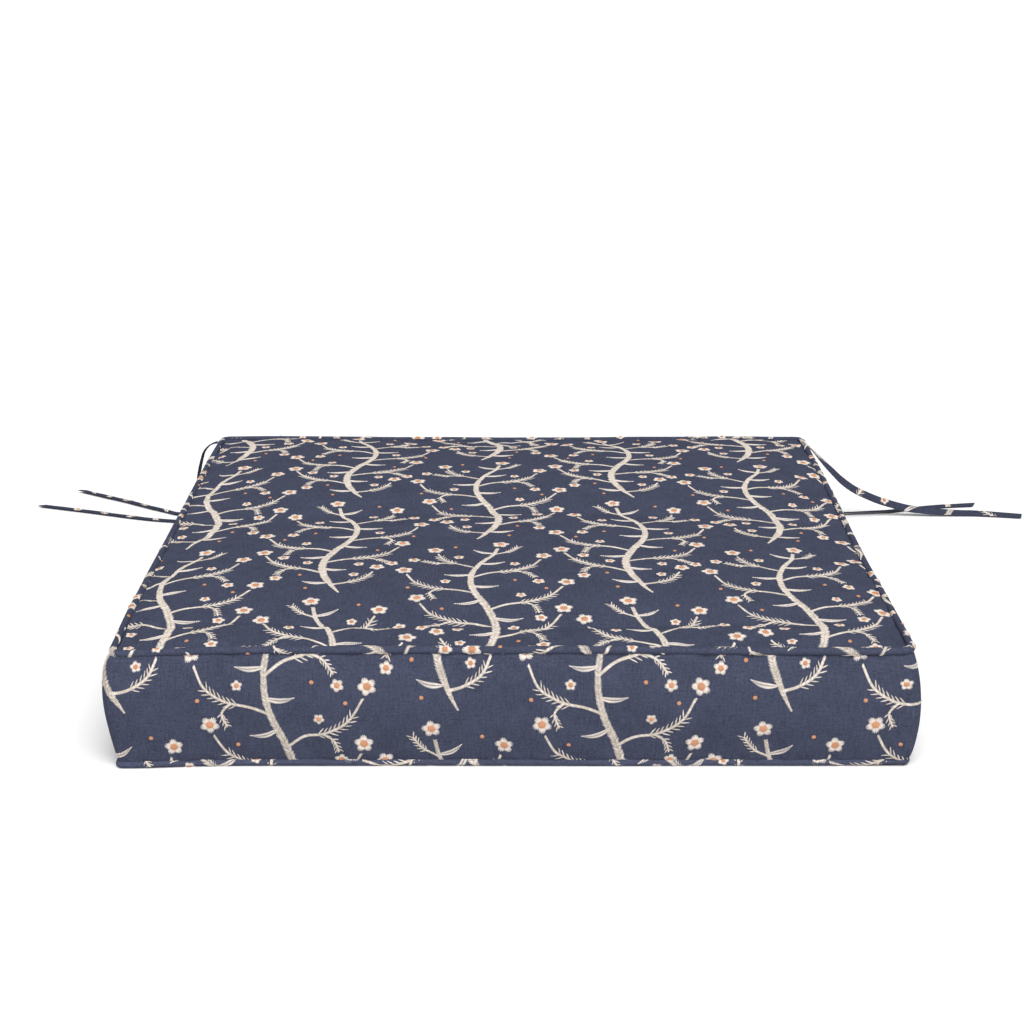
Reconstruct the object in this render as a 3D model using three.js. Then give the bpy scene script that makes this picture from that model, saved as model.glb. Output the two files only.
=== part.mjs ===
// A square box-edge seat cushion with piped seams and two pairs of flat fabric ties.
// Millimetres, +Z up, +Y to the back. The origin is the middle of the underside, on the
// surface that the cushion lies on.
import * as THREE from "three";
import { mergeVertices } from "three/addons/utils/BufferGeometryUtils.js";

// Driving dimensions
const PIPING_DIAMETER = 5;
const SEAM_HALF_WIDTH = 252; // middle of the cushion to the middle of the piping
const CORNER_RADIUS = 12; // of the piping's middle line
const BOXING_HEIGHT = 77; // lower piping to upper piping, middle to middle
const BOXING_BULGE = 7; // how far the boxing stands out past the piping's middle line
const CORNER_BULGE = 1.6; // what the filled corners stand out more than that
const CROWN_EDGE = 2; // the quick rise of the top panel beside its seam
const CROWN_EDGE_REACH = 18;
const CROWN_MIDDLE = 6.5; // the slow rise of the top panel to its middle
const CROWN_POWER = 2.5;
const TIE_WIDTH = 7;
const TIE_THICKNESS = 1.2;

// Counts of faces
const SIDE_STEPS = 18; // along each straight side
const CORNER_STEPS = 6; // round each corner
const BOXING_STEPS = 8;
const PIPING_SIDES = 8;
const TIE_STEPS = 40;
const TIE_LOOKAHEAD = 0.004; // share of a tie's route over which its direction is taken
const MERGE_DISTANCE = 1e-4; // points nearer than this are one point
const TORUS_RADIUS = 4 * PIPING_DIAMETER; // of the round ring that each piping is made from

// Where the cloth leaves a seam: offsets from the middle of the piping, outward and upward.
// The three points make the shallow channel that the piping sits in.
const SEAM_CHANNEL = [
  { out: -2.2, up: 2.3 },
  { out: -3.2, up: 0 },
  { out: -1.9, up: -2.6 },
];

// The top panel's rings, as distances in from the seam
const TOP_PANEL_RINGS = [8, 16, 30, 52, 84, 124, 168, 212];
const UNDERSIDE_RINGS = [40, 110, 190];

const LOWER_SEAM = PIPING_DIAMETER / 2;
const UPPER_SEAM = LOWER_SEAM + BOXING_HEIGHT;
const OUTLINE_STEPS = 4 * (SIDE_STEPS + CORNER_STEPS);

// The ties' routes, chosen by hand: places of the middle of each strip, the plan direction
// across it in degrees from +Y, and how many degrees its far edge leans up from level.
const TIE_ROUTES = {
  tie_right_a: [
    { x: 252.9, y: 246, z: 76.2, turn: 0, lean: 0 },
    { x: 257, y: 249, z: 73.4, turn: 4, lean: 4 },
    { x: 262.5, y: 252.5, z: 68.2, turn: 7, lean: 12 },
    { x: 269, y: 255.5, z: 60.8, turn: 7, lean: 32 },
    { x: 276, y: 258.5, z: 53, turn: 7, lean: 48 },
    { x: 283, y: 261, z: 45.8, turn: 7, lean: 60 },
    { x: 291.5, y: 264, z: 37.2, turn: 7, lean: 66 },
    { x: 303.5, y: 268, z: 27.8, turn: 7, lean: 66 },
    { x: 316, y: 272, z: 20.8, turn: 7, lean: 64 },
    { x: 327, y: 275.5, z: 15.4, turn: 7, lean: 62 },
    { x: 338, y: 277.5, z: 11.4, turn: 7, lean: 58 },
    { x: 355, y: 278, z: 6.8, turn: 4, lean: 50 },
    { x: 368, y: 278, z: 5, turn: 1, lean: 43 },
    { x: 380.5, y: 278, z: 3.8, turn: 1, lean: 37 },
    { x: 397, y: 278.5, z: 2.7, turn: 0, lean: 31 },
    { x: 415, y: 278.3, z: 2.3, turn: -2, lean: 27 },
    { x: 435, y: 275.6, z: 2, turn: -6, lean: 21 },
    { x: 455.7, y: 271.6, z: 1.7, turn: -9, lean: 14 },
  ],
  tie_right_b: [
    { x: 244.5, y: 252.9, z: 76.2, turn: 90, lean: 0 },
    { x: 246.5, y: 257.5, z: 74, turn: 82, lean: 0 },
    { x: 250, y: 262, z: 69.5, turn: 74, lean: 0 },
    { x: 254, y: 266, z: 61, turn: 62, lean: 0 },
    { x: 258, y: 269, z: 49, turn: 50, lean: 0 },
    { x: 262, y: 271.5, z: 35, turn: 38, lean: -3 },
    { x: 266, y: 274, z: 21.5, turn: 26, lean: -7 },
    { x: 272.5, y: 276.5, z: 10.5, turn: 18, lean: -11 },
    { x: 283, y: 279, z: 4.2, turn: 14, lean: -14 },
    { x: 296, y: 281.5, z: 2, turn: 10, lean: -14 },
    { x: 317.5, y: 284, z: 1.8, turn: 10, lean: -14 },
    { x: 340, y: 288.5, z: 1.6, turn: 15, lean: -10 },
    { x: 365, y: 297.5, z: 1.2, turn: 17, lean: -2 },
    { x: 393, y: 303.5, z: 1.2, turn: 11, lean: 5 },
    { x: 423, y: 308, z: 1.3, turn: 8, lean: 7 },
  ],
  tie_left_a: [
    { x: -236, y: 252.9, z: 75.7, turn: -90, lean: 0 },
    { x: -238, y: 257.5, z: 74, turn: -82, lean: 0 },
    { x: -241, y: 261.5, z: 69.5, turn: -74, lean: 0 },
    { x: -244, y: 264.5, z: 61, turn: -62, lean: 0 },
    { x: -247, y: 266.3, z: 49, turn: -50, lean: 0 },
    { x: -249.5, y: 266.8, z: 35, turn: -40, lean: 0 },
    { x: -252.5, y: 266.2, z: 21.5, turn: -30, lean: 0 },
    { x: -258, y: 264.4, z: 10.5, turn: -20, lean: 0 },
    { x: -267, y: 261.8, z: 3.6, turn: -6, lean: 0 },
    { x: -280, y: 259.6, z: 1.1, turn: 0, lean: -1 },
    { x: -299, y: 259.6, z: 1.1, turn: -12, lean: -4 },
    { x: -322, y: 264.6, z: 1.2, turn: -18, lean: -5 },
    { x: -345, y: 273, z: 1.2, turn: -21, lean: -5 },
    { x: -372, y: 284, z: 1.2, turn: -21, lean: -5 },
    { x: -401, y: 295.2, z: 1.2, turn: -20, lean: -5 },
    { x: -429.5, y: 306, z: 1.2, turn: -20, lean: -5 },
  ],
  tie_left_b: [
    { x: -252.6, y: 246, z: 76.3, turn: 0, lean: 0 },
    { x: -256.8, y: 247.8, z: 76.4, turn: 4, lean: -4 },
    { x: -262.6, y: 250.8, z: 73.8, turn: 4, lean: -10 },
    { x: -266.8, y: 254, z: 69.8, turn: 0, lean: -14 },
    { x: -270.1, y: 257.2, z: 64.8, turn: -4, lean: -15 },
    { x: -272.4, y: 260.4, z: 58.6, turn: -7, lean: -15 },
    { x: -274.7, y: 263.6, z: 51, turn: -9, lean: -15 },
    { x: -277.2, y: 266.6, z: 41, turn: -11, lean: -12 },
    { x: -279.7, y: 269, z: 28, turn: -15, lean: -8 },
    { x: -282.8, y: 271.4, z: 15, turn: -22, lean: -4 },
    { x: -289.5, y: 275, z: 5.2, turn: -28, lean: 0 },
    { x: -300, y: 281, z: 1.2, turn: -32, lean: 0 },
    { x: -314, y: 290.4, z: 1.4, turn: -34, lean: -7 },
    { x: -329, y: 300.6, z: 1.6, turn: -36, lean: -10 },
    { x: -350, y: 316.6, z: 1.6, turn: -36, lean: -10 },
    { x: -376, y: 334.4, z: 1.6, turn: -34, lean: -10 },
    { x: -402, y: 352.6, z: 1.6, turn: -34, lean: -10 },
  ],
};

// Colours
const CLOTH = { color: 0x484e5e, roughness: 0.92, metalness: 0 };
const PIPING_CLOTH = { color: 0x3f4555, roughness: 0.92, metalness: 0 };
const TIE_CLOTH = { color: 0x434959, roughness: 0.92, metalness: 0 };

// One point of the rounded square, at the given step round it, with its outward direction.
// A corner's own share of the way round it is kept, since the filled corners stand out more.
function outlinePoint(step) {
  const perSide = SIDE_STEPS + CORNER_STEPS;
  const side = Math.floor(step / perSide) % 4;
  const within = step - perSide * Math.floor(step / perSide);
  const straightHalf = SEAM_HALF_WIDTH - CORNER_RADIUS;
  const turn = new THREE.Matrix4().makeRotationZ((side * Math.PI) / 2);
  const place = new THREE.Vector3();
  const outward = new THREE.Vector3(1, 0, 0);
  let corner = 0;
  if (within <= SIDE_STEPS) {
    const along = (within / SIDE_STEPS) * 2 - 1;
    place.set(SEAM_HALF_WIDTH, along * straightHalf, 0);
  } else {
    const angle = (((within - SIDE_STEPS) / CORNER_STEPS) * Math.PI) / 2;
    corner = Math.sin(angle * 2);
    outward.set(Math.cos(angle), Math.sin(angle), 0);
    place.set(straightHalf, straightHalf, 0).addScaledVector(outward, CORNER_RADIUS);
  }
  return {
    place: place.applyMatrix4(turn),
    outward: outward.applyMatrix4(turn),
    corner,
  };
}

// How high the top panel stands over the upper seam at a place inside the seam
function crownHeight(x, y) {
  const acrossX = Math.min(Math.abs(x) / SEAM_HALF_WIDTH, 1);
  const acrossY = Math.min(Math.abs(y) / SEAM_HALF_WIDTH, 1);
  const inset = SEAM_HALF_WIDTH * (1 - Math.max(acrossX, acrossY));
  const edge = 1 - (1 - Math.min(inset / CROWN_EDGE_REACH, 1)) ** 2;
  const middle = (1 - acrossX ** CROWN_POWER) * (1 - acrossY ** CROWN_POWER);
  return CROWN_EDGE * edge + CROWN_MIDDLE * middle;
}

// The boxing's bulge at a share of the way from one seam to the other
function boxingBulge(share, corner) {
  const swell = 1 - (2 * share - 1) ** 2;
  return (BOXING_BULGE + CORNER_BULGE * corner) * swell;
}

// The cushion's profile from the middle of the top to the middle of the underside. Each row
// says how far the ring stands from the seam's outline, or the share of the outline it keeps.
function cushionRings() {
  const rings = [];
  for (const inset of [...TOP_PANEL_RINGS].reverse()) {
    rings.push({ share: 1 - inset / SEAM_HALF_WIDTH, crowned: true });
  }
  for (const { out, up } of SEAM_CHANNEL) {
    rings.push({ share: 1, out, z: UPPER_SEAM + up });
  }
  const first = SEAM_CHANNEL[SEAM_CHANNEL.length - 1];
  const boxingTop = UPPER_SEAM + first.up;
  const boxingFoot = LOWER_SEAM - first.up;
  for (let i = 1; i < BOXING_STEPS; i++) {
    const down = i / BOXING_STEPS;
    const z = boxingTop + (boxingFoot - boxingTop) * down;
    rings.push({ share: 1, out: first.out, z, down });
  }
  rings.push({ share: 1, out: first.out, z: boxingFoot });
  rings.push({ share: 1, out: SEAM_CHANNEL[1].out, z: LOWER_SEAM });
  rings.push({ share: 1, out: SEAM_CHANNEL[1].out, z: 0 });
  for (const inset of UNDERSIDE_RINGS) {
    rings.push({ share: 1 - inset / SEAM_HALF_WIDTH, z: 0 });
  }
  return rings;
}

// The cushion is turned as a round body, and each point is then moved to its own place
function makeCushion() {
  const rings = cushionRings();
  const profile = [new THREE.Vector2(0, 0)];
  for (let i = 0; i < rings.length; i++) {
    profile.push(new THREE.Vector2(1, -(i + 1)));
  }
  profile.push(new THREE.Vector2(0, -(rings.length + 1)));
  const geometry = closed(new THREE.LatheGeometry(profile.reverse(), OUTLINE_STEPS));
  const points = geometry.attributes.position;
  const point = new THREE.Vector3();
  for (let i = 0; i < points.count; i++) {
    point.fromBufferAttribute(points, i);
    const row = Math.round(-point.y);
    if (row === 0) {
      point.set(0, 0, UPPER_SEAM + crownHeight(0, 0));
    } else if (row > rings.length) {
      point.set(0, 0, 0);
    } else {
      const ring = rings[row - 1];
      const step = (Math.atan2(point.x, point.z) / (2 * Math.PI) + 1) * OUTLINE_STEPS;
      const spot = outlinePoint(Math.round(step) % OUTLINE_STEPS);
      const bulge = ring.down === undefined ? 0 : boxingBulge(ring.down, spot.corner);
      point.copy(spot.place).multiplyScalar(ring.share);
      point.addScaledVector(spot.outward, (ring.out ?? 0) + bulge);
      point.z = ring.crowned ? UPPER_SEAM + crownHeight(point.x, point.y) : ring.z;
    }
    points.setXYZ(i, point.x, point.y, point.z);
  }
  return geometry;
}

// A ring of piping: a torus whose own ring is moved onto the rounded square
function makePiping(height) {
  const tube = PIPING_DIAMETER / 2;
  const torus = new THREE.TorusGeometry(TORUS_RADIUS, tube, PIPING_SIDES, OUTLINE_STEPS);
  const geometry = closed(torus);
  const points = geometry.attributes.position;
  const point = new THREE.Vector3();
  for (let i = 0; i < points.count; i++) {
    point.fromBufferAttribute(points, i);
    const step = (Math.atan2(point.y, point.x) / (2 * Math.PI) + 1) * OUTLINE_STEPS;
    const spot = outlinePoint(Math.round(step) % OUTLINE_STEPS);
    const out = Math.hypot(point.x, point.y) - TORUS_RADIUS;
    const up = point.z;
    point.copy(spot.place).addScaledVector(spot.outward, out);
    points.setXYZ(i, point.x, point.y, height + up);
  }
  return geometry;
}

// The flat strip's section: a rectangle with its four corners cut
function tieSection() {
  const halfWidth = TIE_WIDTH / 2;
  const halfThickness = TIE_THICKNESS / 2;
  const cut = halfThickness / 2;
  const quarter = [
    [halfWidth, halfThickness - cut],
    [halfWidth - cut, halfThickness],
  ];
  const shape = new THREE.Shape();
  shape.moveTo(...quarter[0]);
  shape.lineTo(...quarter[1]);
  shape.lineTo(-quarter[1][0], quarter[1][1]);
  shape.lineTo(-quarter[0][0], quarter[0][1]);
  shape.lineTo(-quarter[0][0], -quarter[0][1]);
  shape.lineTo(-quarter[1][0], -quarter[1][1]);
  shape.lineTo(quarter[1][0], -quarter[1][1]);
  shape.lineTo(quarter[0][0], -quarter[0][1]);
  shape.closePath();
  return shape;
}

// A tie: a straight flat strip whose every section is carried to its place on the route
function makeTie(route) {
  const curve = new THREE.CatmullRomCurve3(
    route.map((stop) => new THREE.Vector3(stop.x, stop.y, stop.z)),
    false,
    "centripetal",
  );
  const geometry = closed(
    new THREE.ExtrudeGeometry(tieSection(), { depth: 1, steps: TIE_STEPS, bevelEnabled: false }),
  );
  const points = geometry.attributes.position;
  const point = new THREE.Vector3();
  for (let i = 0; i < points.count; i++) {
    point.fromBufferAttribute(points, i);
    const frame = tieFrame(curve, route, point.z);
    const place = frame.middle.clone();
    place.addScaledVector(frame.across, point.x);
    place.addScaledVector(frame.face, point.y);
    points.setXYZ(i, place.x, place.y, place.z);
  }
  return geometry;
}

// Middle, across and face directions of a tie at a share of its route
function tieFrame(curve, route, share) {
  const middle = curve.getPoint(share);
  const before = curve.getPoint(Math.max(share - TIE_LOOKAHEAD, 0));
  const after = curve.getPoint(Math.min(share + TIE_LOOKAHEAD, 1));
  const along = after.sub(before).normalize();
  const stop = share * (route.length - 1);
  const low = Math.min(Math.floor(stop), route.length - 2);
  const between = (key) => {
    const degrees = THREE.MathUtils.lerp(route[low][key], route[low + 1][key], stop - low);
    return THREE.MathUtils.degToRad(degrees);
  };
  const turn = between("turn");
  const lean = between("lean");
  const across = new THREE.Vector3(-Math.sin(turn), Math.cos(turn), 0);
  across.multiplyScalar(Math.cos(lean));
  across.z = Math.sin(lean);
  across.addScaledVector(along, -across.dot(along)).normalize();
  const face = new THREE.Vector3().crossVectors(along, across);
  return { middle, across, face };
}

// Only positions stay, and points that coincide become one, so the body is closed
function closed(geometry) {
  geometry.deleteAttribute("normal");
  geometry.deleteAttribute("uv");
  return mergeVertices(geometry, MERGE_DISTANCE);
}

function addPiece(group, name, geometry, finish) {
  geometry.computeVertexNormals();
  const mesh = new THREE.Mesh(geometry, new THREE.MeshStandardMaterial(finish));
  mesh.name = name;
  group.add(mesh);
}

const cushion = new THREE.Group();
addPiece(cushion, "cushion", makeCushion(), CLOTH);
addPiece(cushion, "piping_top", makePiping(UPPER_SEAM), PIPING_CLOTH);
addPiece(cushion, "piping_bottom", makePiping(LOWER_SEAM), PIPING_CLOTH);
for (const [name, route] of Object.entries(TIE_ROUTES)) {
  addPiece(cushion, name, makeTie(route), TIE_CLOTH);
}

export default cushion;
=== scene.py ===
import math

import bpy
import numpy as np
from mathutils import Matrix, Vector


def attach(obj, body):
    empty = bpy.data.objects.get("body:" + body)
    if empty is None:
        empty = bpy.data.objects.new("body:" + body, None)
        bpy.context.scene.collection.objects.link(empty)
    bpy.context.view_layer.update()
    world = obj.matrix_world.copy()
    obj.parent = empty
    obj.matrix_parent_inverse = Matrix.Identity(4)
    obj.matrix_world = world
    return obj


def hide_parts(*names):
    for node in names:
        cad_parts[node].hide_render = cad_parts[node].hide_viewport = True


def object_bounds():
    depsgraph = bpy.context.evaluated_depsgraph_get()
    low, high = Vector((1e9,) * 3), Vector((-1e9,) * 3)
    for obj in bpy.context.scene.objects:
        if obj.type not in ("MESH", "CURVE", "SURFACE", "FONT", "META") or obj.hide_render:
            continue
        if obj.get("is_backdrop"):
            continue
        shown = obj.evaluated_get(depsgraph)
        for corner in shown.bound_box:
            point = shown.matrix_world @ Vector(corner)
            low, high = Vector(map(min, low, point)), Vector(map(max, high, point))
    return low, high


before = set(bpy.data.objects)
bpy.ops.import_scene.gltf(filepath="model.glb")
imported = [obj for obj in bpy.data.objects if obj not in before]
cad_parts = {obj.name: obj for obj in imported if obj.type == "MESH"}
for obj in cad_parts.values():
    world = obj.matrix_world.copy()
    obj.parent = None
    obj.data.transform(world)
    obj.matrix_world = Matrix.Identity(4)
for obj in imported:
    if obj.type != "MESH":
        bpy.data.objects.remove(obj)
cad_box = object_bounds()

# The view and the studio.
# The cushion lies square to a camera that stands in front of it and looks down a little, on a
# plain pale floor under one wide soft light and a pale sky, as a product photograph is lit.
mm = 0.001
VIEW_DISTANCE = 1405.5 * mm  # from the middle of the cushion
VIEW_HEIGHT = 531.7 * mm
VIEW_TIP = math.radians(17.42)
VIEW_LENS = 69.2  # on a 36 mm sensor
FLOOR_SIZE = 60.0
FLOOR_DROP = 0.3 * mm
FLOOR_SHADE = (0.95, 0.95, 0.95, 1)
SKY_STRENGTH = 0.28

scene = bpy.context.scene
scene.view_settings.view_transform = "Standard"
camera_data = bpy.data.cameras.new("view")
camera_data.sensor_width = 36
camera_data.lens = VIEW_LENS
camera = bpy.data.objects.new("view", camera_data)
camera.location = (0, -VIEW_DISTANCE, VIEW_HEIGHT)
camera.rotation_euler = (math.pi / 2 - VIEW_TIP, 0, 0)
scene.collection.objects.link(camera)
scene.camera = camera

bpy.ops.mesh.primitive_plane_add(size=FLOOR_SIZE, location=(0, 0, -FLOOR_DROP))
floor = bpy.context.object
floor.name = "floor"
floor_finish = bpy.data.materials.new("pale_floor")
floor_finish.use_nodes = True
floor_shader = floor_finish.node_tree.nodes["Principled BSDF"]
floor_shader.inputs["Base Color"].default_value = FLOOR_SHADE
floor_shader.inputs["Roughness"].default_value = 0.9
floor_shader.inputs["Specular IOR Level"].default_value = 0.1
floor.data.materials.append(floor_finish)
floor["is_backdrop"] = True

sky = bpy.data.worlds.new("studio")
sky.use_nodes = True
backdrop = sky.node_tree.nodes["Background"]
backdrop.inputs["Color"].default_value = (1, 1, 1, 1)
# Past the edge of the floor the backdrop is seen as white, though it lights less than that
seen = sky.node_tree.nodes.new("ShaderNodeLightPath")
strength = sky.node_tree.nodes.new("ShaderNodeMath")
strength.operation = "MAXIMUM"
strength.inputs[1].default_value = SKY_STRENGTH
sky.node_tree.links.new(seen.outputs["Is Camera Ray"], strength.inputs[0])
sky.node_tree.links.new(strength.outputs[0], backdrop.inputs["Strength"])
scene.world = sky

SUN_POWER = 3.4
SUN_HEIGHT = math.radians(57)
SUN_TURN = math.radians(10)  # to the right of the camera
SUN_SOFTNESS = math.radians(50)

daylight_data = bpy.data.lights.new("soft_daylight", "SUN")
daylight_data.energy = SUN_POWER
daylight_data.angle = SUN_SOFTNESS
daylight = bpy.data.objects.new("soft_daylight", daylight_data)
daylight.rotation_euler = (math.pi / 2 - SUN_HEIGHT, 0, SUN_TURN)
scene.collection.objects.link(daylight)

# The ties.
# Two flat strips at each back corner, each a long piece of the cover cloth folded in on itself
# and stitched along one edge. Their sewn ends are caught in the upper seam, and the rest falls
# to the surface and lies loose on it, with a slanting cut at the free end.
TIE_WIDTH = 7 * mm
TIE_THICKNESS = 1.2 * mm
TIE_TUCK = 3.5 * mm  # how far a tie reaches on into the seam
TIE_SIDES = 20
TIE_ROWS = 170
TIE_POINTS = 400  # of the line that a tie follows
TIE_SLANT_LENGTH = 9 * mm
TIE_EDGE_POWER = 3.5  # a higher power keeps the strip flat nearer to its edges
TIE_CROWDING = 0.45  # a lower power sets the points of its section nearer to its edges
TIE_WAVER = 0.06 * mm
FLOOR_CLEARANCE = 0.05 * mm  # between a low piece and the surface that the cushion lies on
TIE_COLUMNS = ("x", "y", "z", "turn", "lean")  # millimetres and degrees
TIE_ROUTES = {
    "tie_right_a": [
        (252.9, 246, 76.2, 0, 0),
        (257, 249, 73.4, 4, 4),
        (262.5, 252.5, 68.2, 7, 12),
        (269, 255.5, 60.8, 7, 32),
        (276, 258.5, 53, 7, 48),
        (283, 261, 45.8, 7, 60),
        (291.5, 264, 37.2, 7, 66),
        (303.5, 268, 27.8, 7, 66),
        (316, 272, 20.8, 7, 64),
        (327, 275.5, 15.4, 7, 62),
        (338, 277.5, 11.4, 7, 58),
        (355, 278, 6.8, 4, 50),
        (368, 278, 5, 1, 43),
        (380.5, 278, 3.8, 1, 37),
        (397, 278.5, 2.7, 0, 31),
        (415, 278.3, 2.3, -2, 27),
        (435, 275.6, 2, -6, 21),
        (455.7, 271.6, 1.7, -9, 14),
    ],
    "tie_right_b": [
        (244.5, 252.9, 76.2, 90, 0),
        (246.5, 257.5, 74, 82, 0),
        (250, 262, 69.5, 74, 0),
        (254, 266, 61, 62, 0),
        (258, 269, 49, 50, 0),
        (262, 271.5, 35, 38, -3),
        (266, 274, 21.5, 26, -7),
        (272.5, 276.5, 10.5, 18, -11),
        (283, 279, 4.2, 14, -14),
        (296, 281.5, 2, 10, -14),
        (317.5, 284, 1.8, 10, -14),
        (340, 288.5, 1.6, 15, -10),
        (365, 297.5, 1.2, 17, -2),
        (393, 303.5, 1.2, 11, 5),
        (423, 308, 1.3, 8, 7),
    ],
    "tie_left_a": [
        (-236, 252.9, 75.7, -90, 0),
        (-238, 257.5, 74, -82, 0),
        (-241, 261.5, 69.5, -74, 0),
        (-244, 264.5, 61, -62, 0),
        (-247, 266.3, 49, -50, 0),
        (-249.5, 266.8, 35, -40, 0),
        (-252.5, 266.2, 21.5, -30, 0),
        (-258, 264.4, 10.5, -20, 0),
        (-267, 261.8, 3.6, -6, 0),
        (-280, 259.6, 1.1, 0, -1),
        (-299, 259.6, 1.1, -12, -4),
        (-322, 264.6, 1.2, -18, -5),
        (-345, 273, 1.2, -21, -5),
        (-372, 284, 1.2, -21, -5),
        (-401, 295.2, 1.2, -20, -5),
        (-429.5, 306, 1.2, -20, -5),
    ],
    "tie_left_b": [
        (-252.6, 246, 76.3, 0, 0),
        (-256.8, 247.8, 76.4, 4, -4),
        (-262.6, 250.8, 73.8, 4, -10),
        (-266.8, 254, 69.8, 0, -14),
        (-270.1, 257.2, 64.8, -4, -15),
        (-272.4, 260.4, 58.6, -7, -15),
        (-274.7, 263.6, 51, -9, -15),
        (-277.2, 266.6, 41, -11, -12),
        (-279.7, 269, 28, -15, -8),
        (-282.8, 271.4, 15, -22, -4),
        (-289.5, 275, 5.2, -28, 0),
        (-300, 281, 1.2, -32, 0),
        (-314, 290.4, 1.4, -34, -7),
        (-329, 300.6, 1.6, -36, -10),
        (-350, 316.6, 1.6, -36, -10),
        (-376, 334.4, 1.6, -34, -10),
        (-402, 352.6, 1.6, -34, -10),
    ],
}
TIE_SLANTS = {"tie_right_a": 0.12, "tie_right_b": 0.7, "tie_left_a": -0.8, "tie_left_b": -0.8}
NAVY = (0.0536, 0.0605, 0.0986)
THREAD_PITCH = 0.62 * mm


class Wire:
    """A socket of a finish's node tree. Arithmetic on it adds Math nodes."""

    def __init__(self, tree, made=None, out=0):
        self.tree = tree
        self.made = made
        self.out = out

    def __getitem__(self, out):
        return Wire(self.tree, self.made, out)

    def node(self, kind, settings, sockets):
        """A new node with its settings made first, then its sockets filled or linked."""
        made = self.tree.nodes.new(kind)
        for name, value in settings.items():
            if name == "stops":
                ramp = made.color_ramp.elements
                while len(ramp) < len(value):
                    ramp.new(1)
                for element, (place, shade) in zip(ramp, value):
                    element.position = place
                    element.color = shade
            else:
                setattr(made, name, value)
        for key, value in sockets.items():
            if isinstance(value, Wire):
                self.tree.links.new(value.made.outputs[value.out], made.inputs[key])
            else:
                made.inputs[key].default_value = value
        return Wire(self.tree, made)

    def maths(self, operation, *values):
        return self.node("ShaderNodeMath", {"operation": operation}, dict(enumerate(values)))

    def __add__(self, other):
        return self.maths("ADD", self, other)

    __radd__ = __add__

    def __sub__(self, other):
        return self.maths("SUBTRACT", self, other)

    def __rsub__(self, other):
        return self.maths("SUBTRACT", other, self)

    def __mul__(self, other):
        return self.maths("MULTIPLY", self, other)

    __rmul__ = __mul__

    def __truediv__(self, other):
        return self.maths("DIVIDE", self, other)

    def __abs__(self):
        return self.maths("ABSOLUTE", self)

    def stretched(self, scale):
        """The same place with each of its directions scaled."""
        return self.node("ShaderNodeVectorMath", {"operation": "MULTIPLY"}, {0: self, 1: scale})

    def noise(self, scale, detail=2.0):
        """Smooth noise from 0 to 1, with its grain stretched by the scale."""
        sockets = {"Vector": self.stretched(scale), "Scale": 1.0, "Detail": detail}
        return self.node("ShaderNodeTexNoise", {}, sockets)


def new_finish(name):
    """An empty material and the start of its node tree."""
    finish = bpy.data.materials.new(name)
    finish.use_nodes = True
    finish.node_tree.nodes.clear()
    return finish, Wire(finish.node_tree)


def woven_finish(name, painted_light_scale, bias=0.0):
    """Navy cloth of slubby linen yarn in plain weave, cut straight or on the bias. Its scale makes the
    colour lighter or darker, which paints light or shade into it.
    """
    finish, start = new_finish(name)
    spot = start.node("ShaderNodeUVMap", {"uv_map": "UVMap"}, {})
    if bias:
        turned = {"Vector": spot, "Angle": bias}
        spot = start.node("ShaderNodeVectorRotate", {"rotation_type": "Z_AXIS"}, turned)
    parts = start.node("ShaderNodeSeparateXYZ", {}, {0: spot})
    across = parts[0] * (math.pi / THREAD_PITCH)
    along = parts[1] * (math.pi / THREAD_PITCH)
    crossing = across.maths("SINE", across) * along.maths("SINE", along)
    warp = abs(across.maths("SINE", across))
    weft = abs(along.maths("SINE", along))
    over = crossing.maths("GREATER_THAN", crossing, 0.0)
    weave = warp * over + weft * (1 - over)
    warp_slubs = spot.noise((850, 110, 1))
    weft_slubs = spot.noise((110, 850, 1))
    flecks = spot.noise((780, 780, 1), 1.0)
    cloudy = spot.noise((26, 26, 1), 3.0)
    mottled = spot.noise((75, 75, 1), 2.0)
    streaks = warp_slubs * 0.58 + weft_slubs * 0.42
    # Besides tone that varies at random, the weave term darkens the colour where the threads dip under
    # each other: painted shade
    shade = (
        (streaks - 0.5) * 1.3
        + (flecks - 0.5) * 1.1
        + (cloudy - 0.5) * 0.35
        + (mottled - 0.5) * 0.32
        + (weave - 0.6) * 0.12
        + 0.5
    )
    # A scale over 1 paints light into the cloth's colour, and one under 1 paints shade
    dark = tuple(0.58 * part * painted_light_scale for part in NAVY) + (1,)
    light = tuple(1.42 * part * painted_light_scale for part in NAVY) + (1,)
    colour = start.node("ShaderNodeMix", {"data_type": "RGBA"}, {0: shade, 6: dark, 7: light})
    relief = weave * 0.45 + streaks * 0.9
    sockets = {"Height": relief, "Strength": 0.55, "Distance": 0.22 * mm}
    bump = start.node("ShaderNodeBump", {}, sockets)
    sockets = {
        "Base Color": colour[2],
        "Roughness": 0.95,
        "Specular IOR Level": 0.10,
        "Normal": bump,
    }
    shader = start.node("ShaderNodeBsdfPrincipled", {}, sockets)
    start.node("ShaderNodeOutputMaterial", {}, {"Surface": shader})
    return finish


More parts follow.
